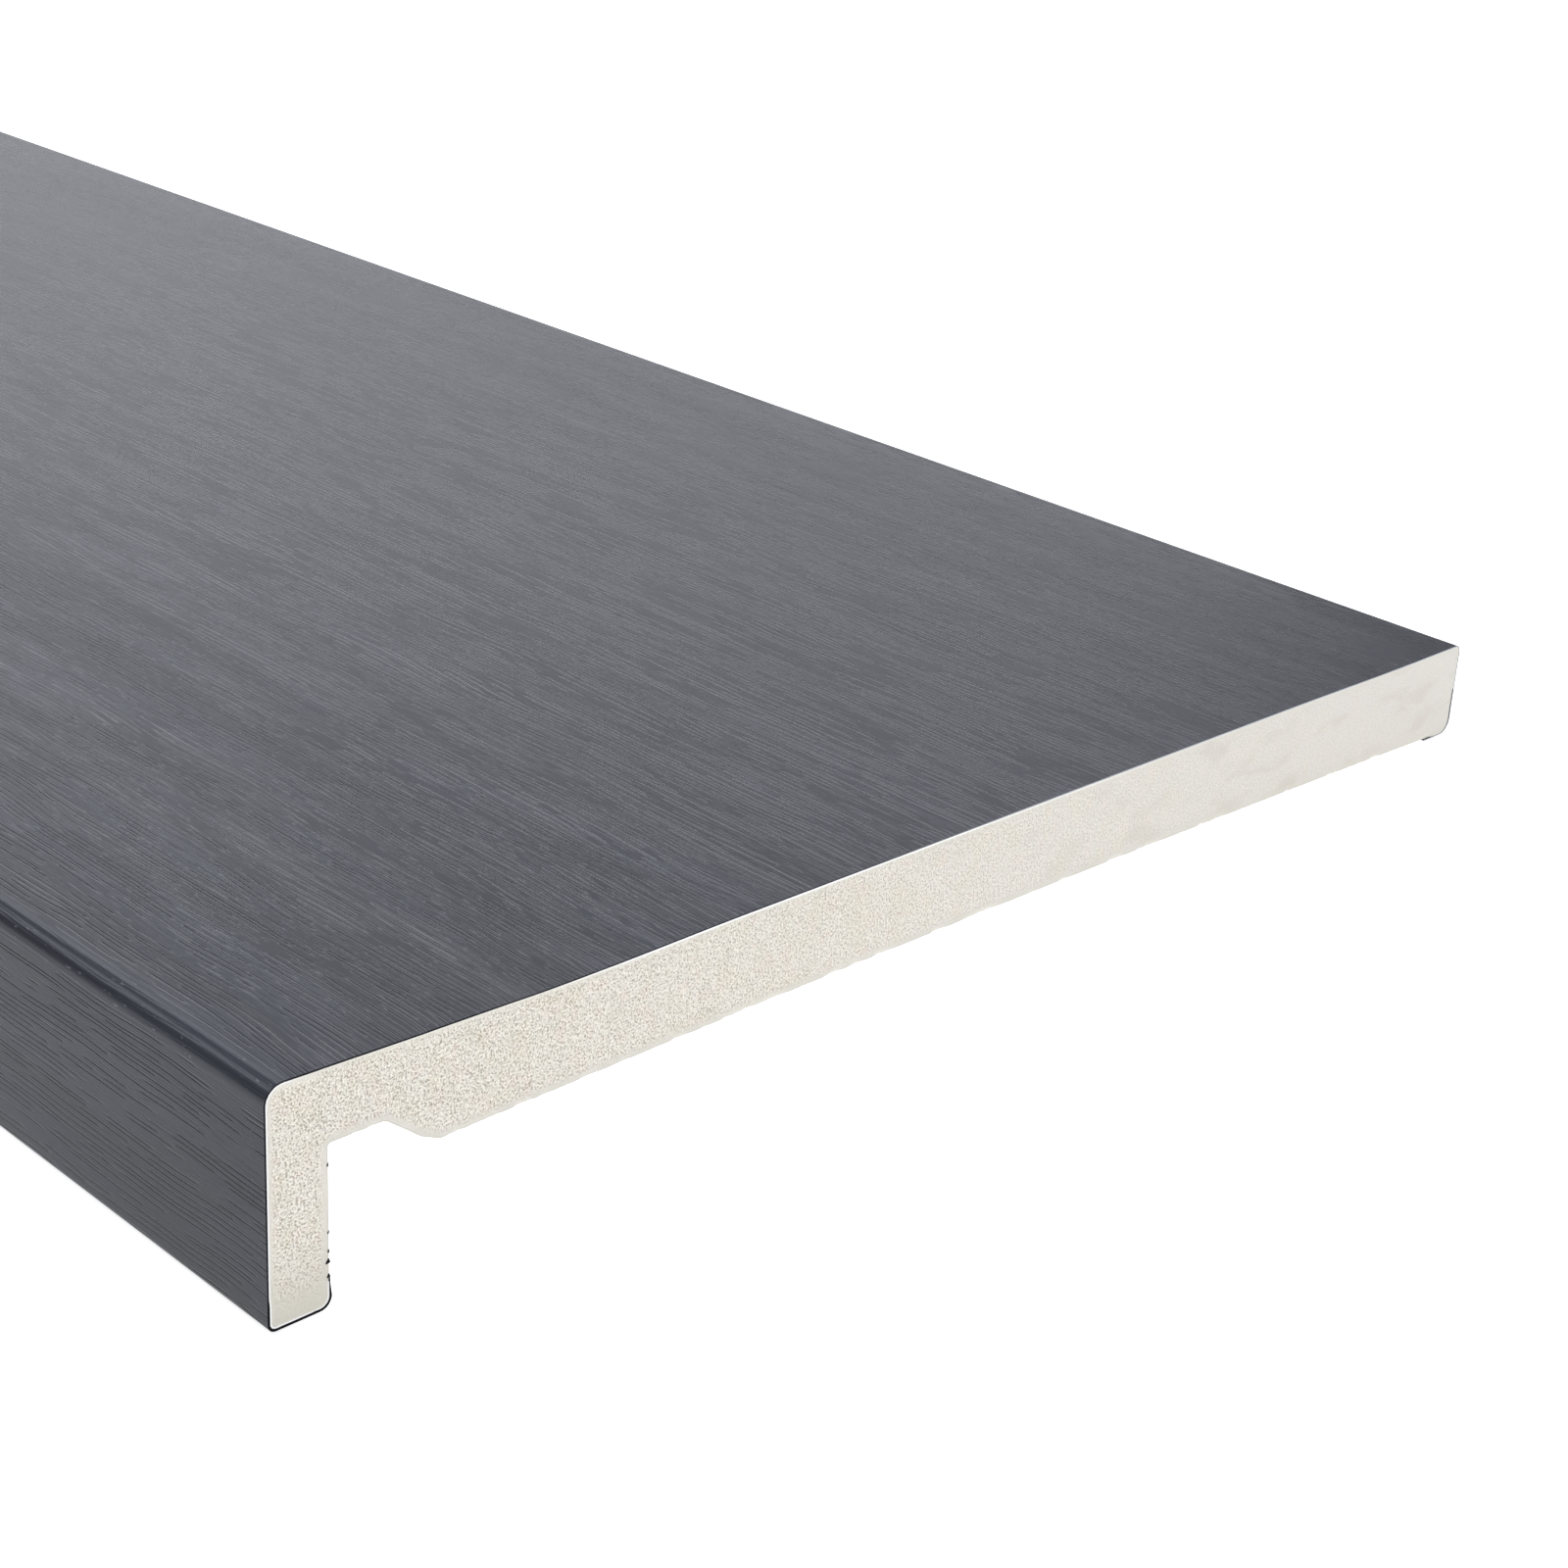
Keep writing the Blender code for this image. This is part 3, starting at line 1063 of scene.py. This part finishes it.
class FASCIA_OT_studio(bpy.types.Operator):
    """Pale floor, soft lights and the camera"""

    bl_idname = "fascia.studio"
    bl_label = "Studio"
    bl_options = {"REGISTER", "UNDO"}

    def execute(self, context):
        studio = context.scene.fascia_studio
        context.scene.view_settings.view_transform = "Standard"
        toe = Vector((cad_high.x, cad_low.y, cad_low.z))
        self.camera(context, studio, toe)
        self.floor(studio)
        self.world(context, studio)
        for name, place, aim, width, height, power, colour in LIGHTS:
            light = self.light(name, width, height, power, colour)
            self.put(context, light, toe + Vector(place), toe + Vector(aim))
            light.visible_camera = False
        return {"FINISHED"}

    def put(self, context, made, place, aim):
        """Link an object at a place, looking at its aim."""
        context.scene.collection.objects.link(made)
        made.location = place
        made.rotation_euler = (aim - place).to_track_quat("-Z", "Y").to_euler()

    def camera(self, context, studio, toe):
        data = bpy.data.cameras.new("camera")
        data.lens = studio.lens
        data.sensor_width = 36
        data.clip_start = 0.01
        data.clip_end = 100
        made = bpy.data.objects.new("camera", data)
        self.put(context, made, toe + Vector(studio.camera_offset), toe + Vector(studio.aim_offset))
        context.scene.camera = made

    def floor(self, studio):
        bpy.ops.mesh.primitive_plane_add(size=FLOOR_SIZE, location=(0, 0, cad_low.z))
        made = bpy.context.object
        made.name = "floor"
        finish = {"Base_Color": FLOOR_COLOUR, "Roughness": 0.9, "Emission_Color": WHITE}
        made.data.materials.append(Shader("pale floor").finish(Emission_Strength=studio.floor_glow, **finish))

    def world(self, context, studio):
        world = bpy.data.worlds.new("room")
        world.use_nodes = True
        background = world.node_tree.nodes["Background"]
        background.inputs["Color"].default_value = (*WHITE, 1)
        background.inputs["Strength"].default_value = studio.world_light
        context.scene.world = world

    def light(self, name, width, height, power, colour):
        data = bpy.data.lights.new(name, "AREA")
        data.color = colour
        data.shape = "RECTANGLE"
        data.size = width
        data.size_y = height
        data.energy = power
        return bpy.data.objects.new(name, data)


class FASCIA_PT_panel(bpy.types.Panel):
    """Buttons for the board's pieces and its studio"""

    bl_idname = "FASCIA_PT_panel"
    bl_label = "Fascia Board"
    bl_space_type = "VIEW_3D"
    bl_region_type = "UI"
    bl_category = "Fascia Board"

    def draw(self, context):
        for group in (context.scene.fascia_finish, context.scene.fascia_studio):
            box = self.layout.box()
            for name in group.bl_rna.properties.keys():
                if name not in ("rna_type", "name"):
                    box.prop(group, name)
        for operator in PIECE_OPERATORS:
            self.layout.operator(operator.bl_idname)


PIECE_OPERATORS = (FASCIA_OT_foam_board, FASCIA_OT_foil_wrap, FASCIA_OT_foil_shreds, FASCIA_OT_studio)
CLASSES = (FasciaFinish, FasciaStudio, *PIECE_OPERATORS, FASCIA_PT_panel)


def register():
    for made in CLASSES:
        bpy.utils.register_class(made)
    bpy.types.Scene.fascia_finish = PointerProperty(type=FasciaFinish)
    bpy.types.Scene.fascia_studio = PointerProperty(type=FasciaStudio)


def unregister():
    del bpy.types.Scene.fascia_studio
    del bpy.types.Scene.fascia_finish
    for made in reversed(CLASSES):
        bpy.utils.unregister_class(made)


def main():
    register()
    bpy.ops.fascia.foam_board()
    bpy.ops.fascia.foil_wrap()
    bpy.ops.fascia.foil_shreds()
    bpy.ops.fascia.studio()


if __name__ == "__main__":
    main()
